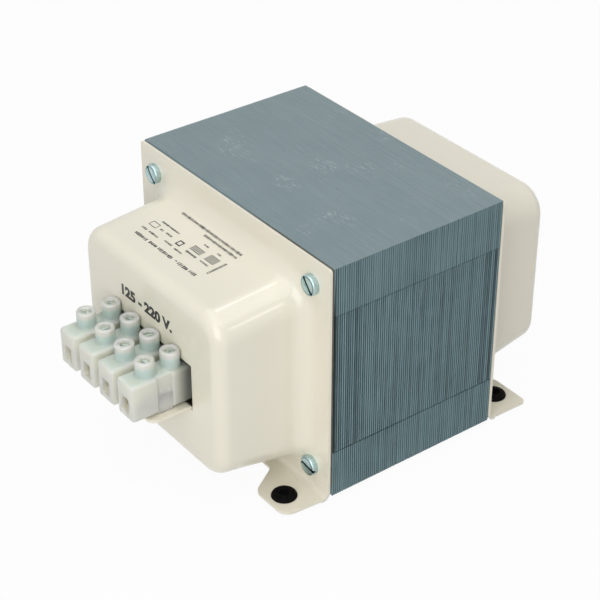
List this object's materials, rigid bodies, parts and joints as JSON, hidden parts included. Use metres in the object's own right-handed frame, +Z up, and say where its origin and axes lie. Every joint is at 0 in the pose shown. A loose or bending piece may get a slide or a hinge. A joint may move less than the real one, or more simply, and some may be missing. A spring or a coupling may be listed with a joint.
{
  "type": "bench autotransformer",
  "caption": "Autotransformer with a stacked steel core between two pressed bells on lugs with rubber feet, and a screw terminal strip on a shelf at the front.",
  "frame": {"origin": "centre of the four foot holes, on the plane that the rubber feet stand on", "axes": "+Z up, +X to the right as seen from the terminals, +Y from the terminals to the back"},
  "size_m": [0.15, 0.2251, 0.1284],
  "materials": {
    "core_paint": "thin blue-grey paint over the edges of the sheets, satin",
    "cream_enamel": "glossy cream stoving enamel",
    "fibre_card": "dark pressed fibre, matt",
    "bobbin_plastic": "black moulded, matt",
    "enamelled_copper": "lacquered copper wire",
    "crepe_tape": "yellow insulating tape",
    "zinc_plate": "bright zinc with a blue tint",
    "yellow_zinc": "yellow passivated zinc",
    "black_rubber": "matt black rubber",
    "strip_nylon": "milky translucent nylon",
    "insert_brass": "turned brass",
    "red_sleeve": "red insulation",
    "blue_sleeve": "blue insulation",
    "black_print": "thin matt black screen print on the front bell"
  },
  "bodies": {
    "root": {"upright_e_sheets": "core_paint", "inverted_e_sheets": "core_paint", "top_i_sheets": "core_paint", "bottom_i_sheets": "core_paint", "fibre_card": "fibre_card", "front_cover": "cream_enamel", "back_cover": "cream_enamel", "bobbin": "bobbin_plastic", "inner_winding": "enamelled_copper", "outer_winding": "enamelled_copper", "coil_wrap": "crepe_tape", "tie_bolt_top_left": "zinc_plate", "tie_bolt_top_right": "zinc_plate", "tie_bolt_bottom_left": "zinc_plate", "tie_bolt_bottom_right": "zinc_plate", "nut_top_left": "zinc_plate", "nut_top_right": "zinc_plate", "nut_bottom_left": "zinc_plate", "nut_bottom_right": "zinc_plate", "nut_washers": "zinc_plate", "foot_front_left": "black_rubber", "foot_front_right": "black_rubber", "foot_back_left": "black_rubber", "foot_back_right": "black_rubber", "terminal_strip": "strip_nylon", "terminal_insert_1": "insert_brass", "terminal_insert_2": "insert_brass", "terminal_insert_3": "insert_brass", "terminal_insert_4": "insert_brass", "front_clamp_screws": "zinc_plate", "back_clamp_screws": "zinc_plate", "strip_screws": "yellow_zinc", "strip_nuts": "zinc_plate", "lead_1": "red_sleeve", "lead_2": "blue_sleeve", "lead_3": "red_sleeve", "lead_4": "blue_sleeve"}
  },
  "joints": []
}
